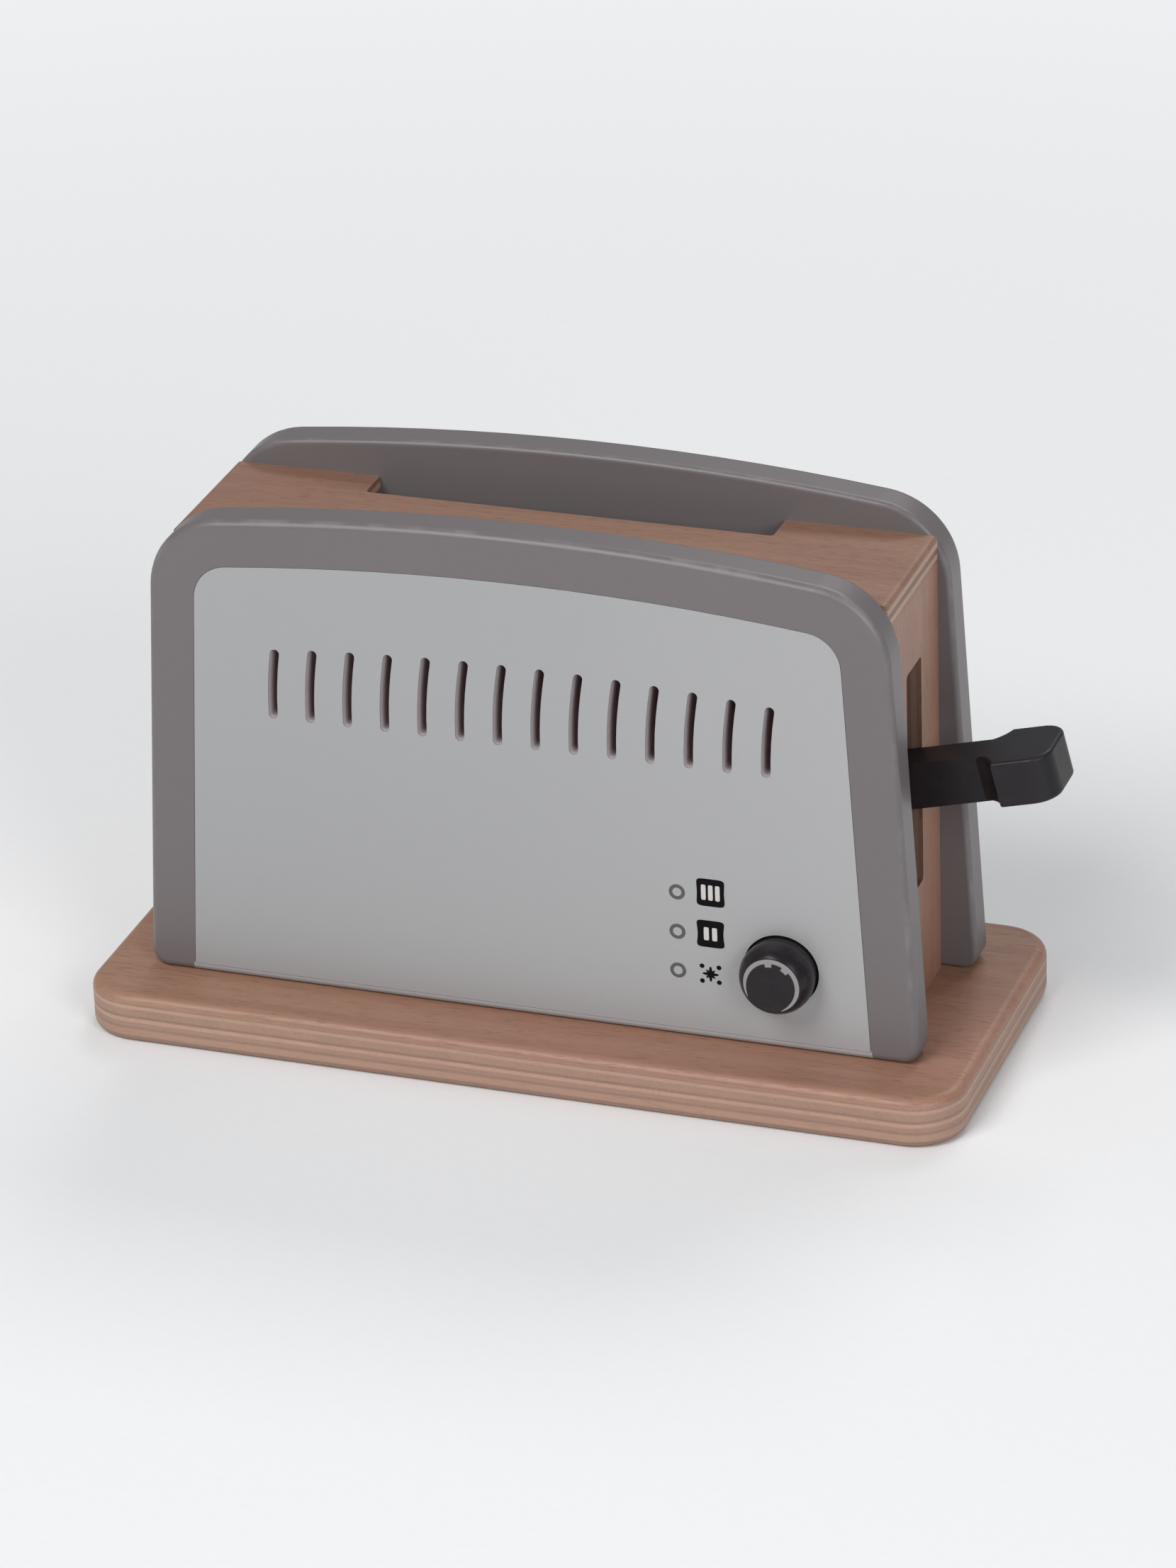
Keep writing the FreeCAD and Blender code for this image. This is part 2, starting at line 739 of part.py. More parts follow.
pivot_run = profile(lever, "XZ_Plane", "lever_pivot_outline",
                    [ring(0, 0, pivot_radius + running_gap)], -lever_width)
sink(lever, pivot_run, "lever_pivot_bore", lever_width * 2, forward=True)
pin_spots = (shelf_start + pin_inset, shelf_start + shelf_length - pin_inset)
pin_level = half_height - shelf_height / 2
sink(lever, profile(lever, "XZ_Plane", "pin_outline",
                    [ring(x, pin_level, pin_radius + fixing_gap) for x in pin_spots], -lever_width),
     "pin_bores", lever_width * 2, forward=True)
tongue_start = brake_reach - tongue_length / 2
rivet_spots = (tongue_start + tongue_length / 4, tongue_start + tongue_length * 3 / 4)
rivet_level = Formula("0")
sink(lever, profile(lever, "XZ_Plane", "rivet_outline",
                    [ring(x, rivet_level, rivet_radius + fixing_gap) for x in rivet_spots],
                    half_lever),
     "rivet_bores", rivet_bite)
on_lever(lever)

# Toast shelf, pinned to the rear of the lever with its top flush
shelf_width = inner_face - shelf_gap - half_lever
shelf_blank = block("shelf_blank", shelf_length, shelf_width, shelf_height,
                    shelf_start, half_lever, half_height - shelf_height)
pin_holes = [rod("shelf_pin_hole", pin_radius + fixing_gap, pin_bite, x, half_lever, pin_level, "+Y")
             for x in pin_spots]
lever_group("toast_shelf", [cut("shelf_bored", shelf_blank, pin_holes)])
pins = [rod("shelf_pin", pin_radius, lever_width + pin_bite, x, -half_lever, pin_level, "+Y")
        for x in pin_spots]
lever_group("shelf_pins", pins)

# Brake tongue riveted to the front of the lever
tongue_blank = block("tongue_blank", tongue_length, tongue_thickness, tongue_drop + tongue_lap,
                     tongue_start, -tongue_face, -tongue_drop)
rivet_holes = [rod("tongue_rivet_hole", rivet_radius + fixing_gap, tongue_thickness,
                   x, -tongue_face, rivet_level, "+Y") for x in rivet_spots]
lever_group("brake_tongue", [cut("tongue_bored", tongue_blank, rivet_holes)])
rivets = []
for x in rivet_spots:
    shank = rod("rivet_shank", rivet_radius, tongue_thickness + rivet_bite,
                x, -tongue_face, rivet_level, "+Y")
    button = rod("rivet_button", rivet_radius * 2, rivet_head,
                 x, -(tongue_face + rivet_head), rivet_level, "+Y")
    rivets.append(joined("rivet", [shank, button]))
lever_group("tongue_rivets", rivets)


def coil(radius, wire, start, length, turns):
    """A wound spring standing on z = start: one tube along pairs of tangent arcs.

    The helix x = r cos u, y = r sin u, z = pitch u / 2 pi is followed in quarter
    turns, each made of two arcs that meet in a common tangent.
    """
    pitch = length / turns
    climb = pitch / (2 * math.pi)
    base = start + wire / 2
    run = (length - wire) / length

    def point(angle):
        return Vector(radius * math.cos(angle), radius * math.sin(angle), base + climb * run * angle)

    def tangent(angle):
        way = Vector(-radius * math.sin(angle), radius * math.cos(angle), climb * run)
        return way.normalize()

    def bend(a, way, b):
        chord = b - a
        length_of_chord = chord.Length
        unit = chord / length_of_chord
        lean = way.getAngle(unit)
        side = (way - unit * way.dot(unit)).normalize()
        middle = (a + b) / 2 + side * (length_of_chord / 2 * math.tan(lean / 2))
        return Part.Arc(a, middle, b).toShape()

    edges = []
    quarters = turns * 4
    for quarter in range(quarters):
        first = quarter * math.pi / 2
        last = first + math.pi / 2
        a, b = point(first), point(last)
        leave, arrive = tangent(first), tangent(last)
        chord = b - a
        both = leave + arrive
        spread = 2 * (1 - leave.dot(arrive))
        reach = (math.sqrt(chord.dot(both) ** 2 + spread * chord.dot(chord)) - chord.dot(both)) / spread
        meet = (a + leave * reach + b - arrive * reach) / 2
        edges.append(bend(a, leave, meet))
        edges.append(bend(b, -arrive, meet))
    spine = Part.Wire(Part.__sortEdges__(edges))
    section = Part.Wire(Part.Circle(point(0), tangent(0), wire / 2).toShape())
    tube = Part.BRepOffsetAPI.MakePipeShell(spine)
    tube.add(section)
    tube.build()
    tube.makeSolid()
    print("least gap between turns", round(pitch * run - wire, 2))
    return tube.shape()


def wound(label, shape, place):
    """A spring whose shape is computed from the sheet's sizes."""
    piece = doc.addObject("Part::Feature", f"{label}_wire")
    piece.Shape = shape
    piece.Placement = place
    return keep(label, piece)


# Lift spring between the base and a seat under the lever
tilt = math.radians(float(lever_tilt))
underside = float(pivot_z) + float(lift_offset) * math.tan(tilt) - lever_half / math.cos(tilt)
seat_radius = lift_radius + lift_wire
seat_reach = float(seat_radius) * math.tan(tilt)
seat_foot = underside - seat_reach - float(lift_seat_drop)
spring_length = seat_foot - float(base_top)
wound("lift_spring", coil(float(lift_radius), float(lift_wire), 0.0, spring_length, LIFT_TURNS),
      FreeCAD.Placement(Vector(float(lift_x), 0, float(base_top)), FreeCAD.Rotation()))
keep("spring_peg", rod("lift_peg", lift_peg_radius, lift_peg_socket + lift_peg_height,
                       lift_x, Formula("0"), base_top - lift_peg_socket))
seat_blank = rod("seat_blank", seat_radius, lever_height, lift_x, Formula("0"),
                 Formula(str(seat_foot)))
seat_trim = block("seat_trim", lever_reach, grip_width * 2, lever_height * 2,
                  Formula("0"), -grip_width, -half_height)
keep("spring_seat", cut("seat_wedge", seat_blank, [
    on_lever(group("seat_trim_turned", [seat_trim]))]))

# Button knob, a turned cap with a hollow back, drawn outwards from the panel's face
outwards = FreeCAD.Rotation(Vector(1, 0, 0), 90)
knob = new_body("button_knob", x=button_across, y=-outer_face, z=button_z)
knob.Placement.Rotation = outwards
back = -float(button_tuck)
proud = float(button_proud)
rim = float(button_radius)
face = float(button_face)
ledge = float(button_shoulder)
ceiling = proud - float(button_front)
cavity = rim - float(button_wall)
socket = float(stem_hole)
socket_top = ceiling + float(stem_bite)
shoulder_low = Vector(rim, ledge, 0)
shoulder_high = Vector(face, proud, 0)
swell = (shoulder_high - shoulder_low) * SHOULDER_SWELL
shoulder_bulge = (shoulder_low + shoulder_high) / 2 + Vector(swell.y, -swell.x, 0)
corners = [
    (0, socket_top), (socket, socket_top), (socket, ceiling), (cavity, ceiling),
    (cavity, back), (rim, back), (rim, ledge),
]
corners = [Vector(x, y, 0) for x, y in corners]
outline = [Part.LineSegment(a, b) for a, b in zip(corners, corners[1:])]
outline.append(arc_through(shoulder_low, shoulder_bulge, shoulder_high))
outline.append(Part.LineSegment(shoulder_high, Vector(0, proud, 0)))
outline.append(Part.LineSegment(Vector(0, proud, 0), corners[0]))
turned = knob.newObject("PartDesign::Revolution", "knob_turned")
turned.Profile = profile(knob, "XZ_Plane", "knob_outline", [outline])
turned.ReferenceAxis = (turned.Profile[0], ["V_Axis"])
turned.setExpression("Angle", "360")
doc.recompute()
soften(knob, button_ease, "knob_edge", lambda p: near(p.z, proud))

# Stem from the knob to the brake bar, with its spring and its stop collar
stem_end = outer_face + ceiling + float(stem_bite)
stem_length = stem_end + bar_back
keep("button_stem", rod("stem_rod", stem_radius, stem_length, button_across, -stem_end,
                        button_z, "+Y"))
bore_floor = outer_face - bore_depth
coil_length = float(bore_depth) + ceiling
wound("button_spring", coil(float(coil_radius), float(coil_wire), 0.0, coil_length, COIL_TURNS),
      FreeCAD.Placement(Vector(float(button_across), -float(bore_floor), float(button_z)), outwards))
collar_start = -inner_face + sliding_gap
collar_disc = rod("collar_disc", collar_radius, collar_thickness, button_across, collar_start,
                  button_z, "+Y")
collar_bore = rod("collar_bore", stem_hole, collar_thickness, button_across, collar_start,
                  button_z, "+Y")
keep("stop_collar", cut("collar_ring", collar_disc, [collar_bore]))

# Brake: a padded bar on the stem, and the block it presses the tongue against
tongue_x = pivot_x + brake_reach
tongue_left = tongue_x - tongue_length / 2
bar_left = tongue_left
bar_length = button_across + stem_radius + bar_margin - bar_left
bar_foot = button_z - bar_height / 2
bar_blank = block("bar_blank", bar_length, bar_thickness, bar_height, bar_left, bar_face, bar_foot)
bar_bore = rod("bar_bore", stem_hole, bar_thickness, button_across, bar_face, button_z, "+Y")
keep("brake_bar", cut("bar_bored", bar_blank, [bar_bore]))
keep("brake_pad", block("brake_pad_block", tongue_length, pad_thickness, bar_height,
                        tongue_left, pad_face, bar_foot))
block_depth = inner_face - tongue_face - sliding_gap
keep("brake_block", block("brake_block_board", tongue_length, block_depth, block_height,
                          tongue_left - bar_margin, -inner_face, base_top))

doc.recompute()
for piece in doc.Objects:
    if "Invalid" in piece.State or "Error" in piece.State:
        raise RuntimeError(f"{piece.Name} did not recompute: {piece.State}")
for label, piece in pieces.items():
    if piece.Shape.isNull() or not piece.Shape.isValid():
        raise RuntimeError(f"{label} has no valid shape")

os.makedirs("parts", exist_ok=True)
for label, piece in pieces.items():
    piece.Shape.exportStep(f"parts/{label}.step")
    print(label, len(piece.Shape.Solids), round(piece.Shape.Volume, 1))
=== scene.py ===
"""Finishes, printed marks, light and camera for the pop-up toy toaster.

Lengths are in millimetres until a mesh or a lamp is made, which is in metres like
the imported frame.  X runs towards the lever, the front faces -Y and Z is up.
"""

import math
from collections import namedtuple

import bpy
import numpy as np
from mathutils import Matrix, Vector


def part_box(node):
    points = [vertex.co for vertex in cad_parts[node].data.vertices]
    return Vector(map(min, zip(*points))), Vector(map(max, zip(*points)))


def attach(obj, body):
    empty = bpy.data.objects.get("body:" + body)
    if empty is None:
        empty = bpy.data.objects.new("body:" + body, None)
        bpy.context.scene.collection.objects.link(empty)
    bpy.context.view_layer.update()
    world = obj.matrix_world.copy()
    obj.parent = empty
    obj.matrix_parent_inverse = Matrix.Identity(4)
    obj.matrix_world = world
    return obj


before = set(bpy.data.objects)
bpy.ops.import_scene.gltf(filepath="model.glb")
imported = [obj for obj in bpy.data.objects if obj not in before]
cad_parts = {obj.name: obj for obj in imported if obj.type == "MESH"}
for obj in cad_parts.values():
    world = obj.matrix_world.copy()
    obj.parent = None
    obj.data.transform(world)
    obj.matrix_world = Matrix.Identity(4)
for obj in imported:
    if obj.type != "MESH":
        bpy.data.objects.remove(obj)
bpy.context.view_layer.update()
MM = 0.001


class Value:
    """What a node gives out, written in sums as a number is."""

    def __init__(self, finish, socket):
        self.finish = finish
        self.socket = socket

    def maths(self, operation, *values):
        return self.finish.node("ShaderNodeMath", {"operation": operation}, values)

    def __add__(self, other):
        return self.maths("ADD", self, other)

    __radd__ = __add__

    def __sub__(self, other):
        return self.maths("SUBTRACT", self, other)

    def __rsub__(self, other):
        return self.maths("SUBTRACT", other, self)

    def __mul__(self, other):
        return self.maths("MULTIPLY", self, other)

    __rmul__ = __mul__

    def __truediv__(self, other):
        return self.maths("DIVIDE", self, other)

    def __pow__(self, other):
        return self.maths("POWER", self, other)

    def __abs__(self):
        return self.maths("ABSOLUTE", self)

    def __lt__(self, other):
        return self.maths("LESS_THAN", self, other)

    def __gt__(self, other):
        return self.maths("GREATER_THAN", self, other)

    def rise(self, low, high):
        """0 below low, 1 above high, with a smooth step between."""
        return self.finish.node("ShaderNodeMapRange", {"interpolation_type": "SMOOTHSTEP"},
                                {"Value": self, "From Min": low, "From Max": high}, "Result")


class Finish:
    """One material, built from nodes on the object's own coordinates."""

    def __init__(self, name):
        self.material = bpy.data.materials.new(name)
        self.material.use_nodes = True
        self.tree = self.material.node_tree
        self.tree.nodes.clear()
        self.home = self.node("ShaderNodeTexCoord", give="Object")
        self.facing = self.axes(self.node("ShaderNodeTexCoord", give="Normal"))
        self.x, self.y, self.z = [axis * (1 / MM) for axis in self.axes(self.home)]

    def node(self, kind, settings=None, inputs=(), give=0):
        """Add a node: settings first, then the values or links of its sockets."""
        made = self.tree.nodes.new(kind)
        for name, setting in (settings or {}).items():
            if name == "stops":
                self.fill(made.color_ramp, setting)
            else:
                setattr(made, name, setting)
        pairs = inputs.items() if isinstance(inputs, dict) else enumerate(inputs)
        for name, given in pairs:
            if isinstance(given, Value):
                self.tree.links.new(given.socket, made.inputs[name])
            else:
                made.inputs[name].default_value = given
        return Value(self, made.outputs[give]) if made.outputs else None

    @staticmethod
    def fill(ramp, stops):
        """Give a ramp its stops, each a place from 0 to 1 and a brightness."""
        while len(ramp.elements) < len(stops):
            ramp.elements.new(1.0)
        for element, (place, tone) in zip(ramp.elements, stops):
            element.position = place
            element.color = (tone, tone, tone, 1)

    def axes(self, vector):
        """The three parts of a vector as numbers."""
        split = self.node("ShaderNodeSeparateXYZ", None, [vector]).socket.node
        return [Value(self, output) for output in split.outputs]

    def ramp(self, share, stops):
        """The brightness that a ramp's stops give at a share from 0 to 1."""
        return self.axes(self.node("ShaderNodeValToRGB", {"stops": stops}, [share], "Color"))[0]

    def noise(self, per, detail=2.0, rough=0.5, shift=(0, 0, 0)):
        """Cloudy noise from 0 to 1; per says how many clouds a millimetre holds on x, y, z."""
        place = self.node("ShaderNodeMapping", None,
                          {"Vector": self.home, "Scale": [one / MM for one in per],
                           "Location": shift}, "Vector")
        return self.node("ShaderNodeTexNoise", None,
                         {"Vector": place, "Scale": 1.0, "Detail": detail, "Roughness": rough},
                         "Fac")

    def cloud(self, per, detail=2.0, rough=0.5):
        """Cloudy noise from 0 to 1, with as many clouds a millimetre on every axis."""
        return self.noise((per, per, per), detail, rough)

    def blend(self, amount, a, b):
        """Colour a where amount is 0, colour b where it is 1."""
        return self.node("ShaderNodeMix", {"data_type": "RGBA"}, {0: amount, 6: a, 7: b}, 2)

    def shade(self, tone, amount):
        """A colour made darker or lighter by a factor."""
        return self.node("ShaderNodeVectorMath", {"operation": "SCALE"},
                         {0: tone if isinstance(tone, Value) else tone[:3], "Scale": amount})

    def done(self, tone, rough, height, depth, backdrop=None, **fixed):
        """Join colour, roughness and relief (depth in millimetres) to the output.

        backdrop is a share and a colour: that share of the surface glows plainly in
        the colour, as the studio's backdrop does.
        """
        relief = self.node("ShaderNodeBump", None,
                           {"Strength": 1.0, "Distance": depth * MM, "Height": height})
        sockets = {"Base Color": tone, "Roughness": rough, "Normal": relief}
        sockets.update({name.replace("_", " "): value for name, value in fixed.items()})
        surface = self.node("ShaderNodeBsdfPrincipled", None, sockets)
        if backdrop:
            share, glowing = backdrop
            glow = self.node("ShaderNodeEmission", None, {"Color": glowing})
            surface = self.node("ShaderNodeMixShader", None, [share, surface, glow])
        self.node("ShaderNodeOutputMaterial", None, {"Surface": surface})
        return self.material


def colour(r, g, b):
    """An opaque colour from its linear parts."""
    return (r, g, b, 1.0)


# Tones of the beech: face veneer, its darker figure, its blush and the plies' pale ends
BEECH_LIGHT = colour(0.380, 0.212, 0.140)
BEECH_DARK = colour(0.245, 0.120, 0.074)
BEECH_ROSE = colour(0.320, 0.156, 0.108)
BEECH_PALE = colour(0.400, 0.292, 0.230)
# A second board's grain is read from another place in the noise
CROSS_SHIFT = (3.1, 1.7, 0.4)

# Layers of each board, from its low face: top as a share of the thickness, brightness
BASE_PLIES = [(0.11, 0.95), (0.16, 0.80), (0.30, 1.10), (0.36, 0.82), (0.45, 0.98),
              (0.53, 1.26), (0.59, 0.80), (0.73, 0.98), (0.80, 1.24), (0.85, 0.84), (1.0, 1.0)]
WALL_PLIES = [(0.14, 1.0), (0.28, 1.12), (0.43, 0.86), (0.57, 1.14), (0.72, 0.86),
              (0.86, 1.12), (1.0, 1.0)]
LID_PLIES = [(0.19, 0.90), (0.38, 1.30), (0.60, 0.60), (0.80, 1.26), (1.0, 0.78)]
GLUE_EASE = 0.012
GRAIN_EASE = 0.01
VENEER_EASE = 0.02

# The lever's slot in the end wall, with a margin around it; the walls inside it get painted
# shade
SLOT_HALF = 5.3
SLOT_FOOT, SLOT_HEAD = 30.0, 95.0


def along(axis, run, across):
    """Noise density that is drawn out along an axis."""
    return tuple(run if one == axis else across for one in "xyz")


def beech(finish, axis, shift=(0, 0, 0)):
    """Colour, relief and streaks of solid beech whose fibres run along an axis.

    Broad streaks mix the light and the dark tone, fine fibres run through them, and
    short dark flecks lie along the fibres.
    """
    figure = finish.noise(along(axis, 0.008, 0.16), 3.0, 0.55, shift).rise(0.36, 0.66)
    streak = finish.noise(along(axis, 0.02, 1.1), 3.0, 0.6, shift)
    fibre = finish.noise(along(axis, 0.09, 5.0), 2.0, 0.6, shift)
    fleck = finish.noise(along(axis, 0.28, 2.6), 1.0, 0.5, shift).rise(0.57, 0.70)
    tone = finish.blend(figure * 0.38 + streak * 0.50, BEECH_LIGHT, BEECH_DARK)
    tone = finish.blend(finish.cloud(0.013, 1.0).rise(0.35, 0.7) * 0.5, tone, BEECH_ROSE)
    tone = finish.shade(tone, 0.88 + fibre * 0.28 - fleck * 0.20)
    return tone, fibre * 0.6 + streak * 0.4 - fleck * 0.6, streak


def plywood(name, board, stack, plies, face_axis, cross_axis, shaded_slot=False):
    """Layered board: plies stacked along an axis between the board's two faces.

    plies lists each layer's top, as a share of the thickness, and its brightness.  The
    outer layers carry the face veneer's grain; between them long and cross grain
    take turns, and the layers' brightness changes at each joint.  The walls inside
    the lever's slot get painted shade, at half brightness.
    """
    finish = Finish(name)
    low, high = [getattr(corner, stack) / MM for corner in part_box(board)]
    wander = finish.cloud(0.03) - 0.5
    share = (getattr(finish, stack) + wander * 0.35 - low) / (high - low)
    tones, turns = [], []
    start = 0.0
    for number, (top, tone) in enumerate(plies):
        tones += [(start + GLUE_EASE, tone), (top - GLUE_EASE, tone)]
        turns += [(start + GRAIN_EASE, number % 2), (top - GRAIN_EASE, number % 2)]
        start = top
    face, relief, streak = beech(finish, face_axis)
    cross, cross_relief, _ = beech(finish, cross_axis, CROSS_SHIFT)
    first, last = plies[0][0], plies[-2][0]
    edge = share.rise(first - VENEER_EASE, first) * (1 - share.rise(last, last + VENEER_EASE))
    tone = finish.blend(finish.ramp(share, turns) * edge, face, cross)
    tone = finish.blend(edge * 0.38, tone, BEECH_PALE)
    tone = finish.shade(tone, finish.ramp(share, tones))
    if shaded_slot:
        # Painted shade: the walls inside the lever's slot are darkened to half brightness
        sideways = abs(finish.facing[0]) < 0.5
        inside = ((abs(finish.y) < SLOT_HALF) * sideways
                  * (finish.z > SLOT_FOOT) * (finish.z < SLOT_HEAD))
        tone = finish.shade(tone, 1 - inside * 0.5)
    rough = 0.40 + streak * 0.14 + edge * 0.10
    height = relief * (1 - edge) + cross_relief * edge
    return finish.done(tone, rough, height, 0.05, Coat_Weight=0.12, Coat_Roughness=0.28)


def plain_beech(name, axis):
    """Solid beech, sanded and unvarnished."""
    finish = Finish(name)
    tone, relief, streak = beech(finish, axis)
    tone = finish.blend(0.35, tone, BEECH_PALE)
    return finish.done(tone, 0.52 + streak * 0.12, relief, 0.05)


GREY = colour(0.148, 0.131, 0.134)
GREY_WORN = colour(0.240, 0.218, 0.222)
# Vent walls: a pale tone near the lip as painted light, and a dark tone further in as painted
# shade
VENT_LIP_PAINTED_LIGHT = colour(0.56, 0.51, 0.52)
VENT_DEEP_PAINTED_SHADE = colour(0.36, 0.25, 0.27)
SILVER = colour(0.362, 0.366, 0.376)
# The second silver tone below is lighter and warmer; it is blended in towards +X as painted
# light.
SILVER_WARM_PAINTED_LIGHT = colour(0.392, 0.390, 0.395)

# Foot of the silver sheet, below which the panel itself is silver, and the sheet's
# half width there; its sides lean in as the panel's do
SHEET_FOOT = 12.9
SHEET_HALF = 74.05
SHEET_LEAN = math.tan(math.radians(3.4))
FOOT_STRIP_TOP = 13.2
FOOT_STRIP_FACE = -25.0
# The vents' zone on the front panel, and where the painted light on their walls near the lip
# turns to painted shade further in
VENT_HALF = 62.0
VENT_FOOT, VENT_HEAD = 70.0, 96.0
VENT_PAINTED_LIGHT_END, VENT_PAINTED_SHADE_START = -23.9, -21.9


def silver_tone(finish):
    """Silver paint and its flakes: a pale grey that drifts a little in warmth at random, with
    painted light that makes it lighter and warmer towards +X.
    """
    # Painted light: lighter and warmer silver towards +X (the x term), plus a random cloudy
    # drift.
    painted_light_and_drift = (finish.x / 190 + 0.5) * 0.6 + finish.cloud(0.012, 1.0) * 0.4
    flake = finish.cloud(4.0, 1.0)
    return finish.shade(finish.blend(painted_light_and_drift, SILVER, SILVER_WARM_PAINTED_LIGHT),
                        0.905 + flake * 0.06 + painted_light_and_drift * 0.13), flake


def grey_paint(name, is_front):
    """Satin grey paint, rolled on, rubbed a little lighter where the edges turn over.

    The edges are found from the surface's direction: a rounded edge faces partly
    forwards and partly sideways.  On the front panel the silver runs on below the
    sheet, down to the base board, and the vents' milled walls get painted light
    near the lip and painted shade further in.
    """
    finish = Finish(name)
    forward = abs(finish.facing[1])
    turn = forward.rise(0.10, 0.35) * (1 - forward.rise(0.80, 0.97))
    rub = finish.cloud(0.11, 3.0, 0.6).rise(0.42, 0.70)
    cloud = finish.cloud(0.02)
    peel = finish.cloud(1.1)
    tone = finish.blend(turn * rub * 0.5, GREY, GREY_WORN)
    tone = finish.shade(tone, 0.92 + cloud * 0.10 + peel * 0.06)
    rough = 0.34 + cloud * 0.08 + turn * rub * 0.10
    if is_front:
        silver, _ = silver_tone(finish)
        half = SHEET_HALF + (SHEET_FOOT - finish.z) * SHEET_LEAN
        strip = ((finish.z < FOOT_STRIP_TOP) * (finish.y < FOOT_STRIP_FACE)
                 * (abs(finish.x) < half))
        tone = finish.blend(strip, tone, silver)
        # Painted light and shade on the vents' walls: pale near the lip, dark further in
        vent_wall_painted_light_shade = ((forward < 0.6) * (finish.z > VENT_FOOT) * (finish.z < VENT_HEAD)
                * (abs(finish.x) < VENT_HALF))
        depth = finish.y.rise(VENT_PAINTED_LIGHT_END, VENT_PAINTED_SHADE_START)
        tone = finish.blend(vent_wall_painted_light_shade, tone, finish.blend(depth, VENT_LIP_PAINTED_LIGHT, VENT_DEEP_PAINTED_SHADE))
        rough = rough + strip * 0.08
    return finish.done(tone, rough, peel, 0.012)


def silver_sheet(name):
    """Matt silver face, fine-grained, with faint rub marks."""
    finish = Finish(name)
    tone, flake = silver_tone(finish)
    rubbed = finish.noise((0.05, 0.05, 0.9), 3.0, 0.6)
    return finish.done(tone, 0.40 + flake * 0.06 + rubbed * 0.05, flake + rubbed * 0.4, 0.006,
                       Metallic=0.18)


def black_lacquer(name):
    """Satin black lacquer over wood: the grain just shows through as relief."""
    finish = Finish(name)
    streak = finish.noise(along("x", 0.05, 1.6), 3.0, 0.6)
    peel = finish.cloud(0.9)
    rub = finish.cloud(0.25, 3.0, 0.65).rise(0.45, 0.75)
    tone = finish.blend(rub * 0.35, colour(0.011, 0.009, 0.011), colour(0.026, 0.022, 0.027))
    return finish.done(tone, 0.38 + streak * 0.08 + rub * 0.06, streak * 0.7 + peel * 0.3, 0.012,
                       Specular_IOR_Level=0.32)


def black_gloss(name):
    """Moulded black knob: smooth, with faint handling marks."""
    finish = Finish(name)
    smear = finish.cloud(0.22, 3.0, 0.6)
    grit = finish.cloud(3.0, 1.0)
    tone = finish.blend(smear.rise(0.4, 0.7) * 0.3, colour(0.012, 0.009, 0.011),
                        colour(0.020, 0.016, 0.019))
    return finish.done(tone, 0.24 + smear * 0.06, grit, 0.002, Specular_IOR_Level=0.30)


def moulded(name, base, rough, depth):
    """Moulded plastic or rubber with a fine texture from its mould."""
    finish = Finish(name)
    grit = finish.cloud(2.2, 3.0, 0.6)
    tone = finish.shade(base, 0.92 + finish.cloud(0.08) * 0.10 + grit * 0.06)
    return finish.done(tone, rough + grit * 0.08, grit, depth)


def steel(name):
    """Drawn steel: bright metal with fine die lines and a few dull spots."""
    finish = Finish(name)
    line = finish.noise((1.5, 1.5, 6.0), 3.0, 0.6)
    dull = finish.cloud(0.3).rise(0.5, 0.75)
    tone = finish.blend(dull, colour(0.56, 0.55, 0.53), colour(0.40, 0.385, 0.365))
    return finish.done(tone, 0.26 + dull * 0.16 + line * 0.08, line, 0.006, Metallic=1.0)


def ink(name, base):
    """Printed ink: matt, slightly uneven in density."""
    finish = Finish(name)
    grain = finish.cloud(5.0)
    tone = finish.shade(base, 0.88 + grain * 0.14 + finish.cloud(0.9) * 0.10)
    return finish.done(tone, 0.6 + grain * 0.1, grain, 0.004, Specular_IOR_Level=0.12)


finishes = {
    "base_board": plywood("base_plywood", "base_board", "z", BASE_PLIES, "x", "y"),
    "top_board": plywood("lid_plywood", "top_board", "z", LID_PLIES, "x", "y"),
    "front_side_panel": grey_paint("front_grey_paint", True),
    "rear_side_panel": grey_paint("rear_grey_paint", False),
    "front_face_sheet": silver_sheet("silver_face"),
    "lever": black_lacquer("lever_lacquer"),
    "button_knob": black_gloss("knob_black"),
    "brake_pad": moulded("brake_rubber_pad", colour(0.035, 0.032, 0.032), 0.62, 0.02),
}
for side in ("left", "right"):
    wall = f"{side}_end_wall"
    finishes[wall] = plywood(f"{side}_wall_plywood", wall, "x", WALL_PLIES, "z", "y", True)
shared = {
    plain_beech("beech_along_x", "x"): ("toast_guide_board", "toast_shelf", "brake_bar"),
    plain_beech("beech_along_y", "y"): ("panel_dowels", "pivot_dowel", "shelf_pins",
                                        "button_stem"),
    plain_beech("beech_along_z", "z"): ("top_dowels", "spring_peg", "spring_seat",
                                        "brake_block"),
    moulded("white_nylon_sleeve", colour(0.60, 0.585, 0.55), 0.38, 0.008): (
        "front_pivot_spacer", "rear_pivot_spacer", "stop_collar"),
    steel("bright_steel"): ("base_screws", "lift_spring", "button_spring", "brake_tongue",
                            "tongue_rivets"),
}
for material, nodes in shared.items():
    finishes.update({node: material for node in nodes})

for node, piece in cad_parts.items():
    for slot in piece.material_slots:
        slot.material = finishes[node]


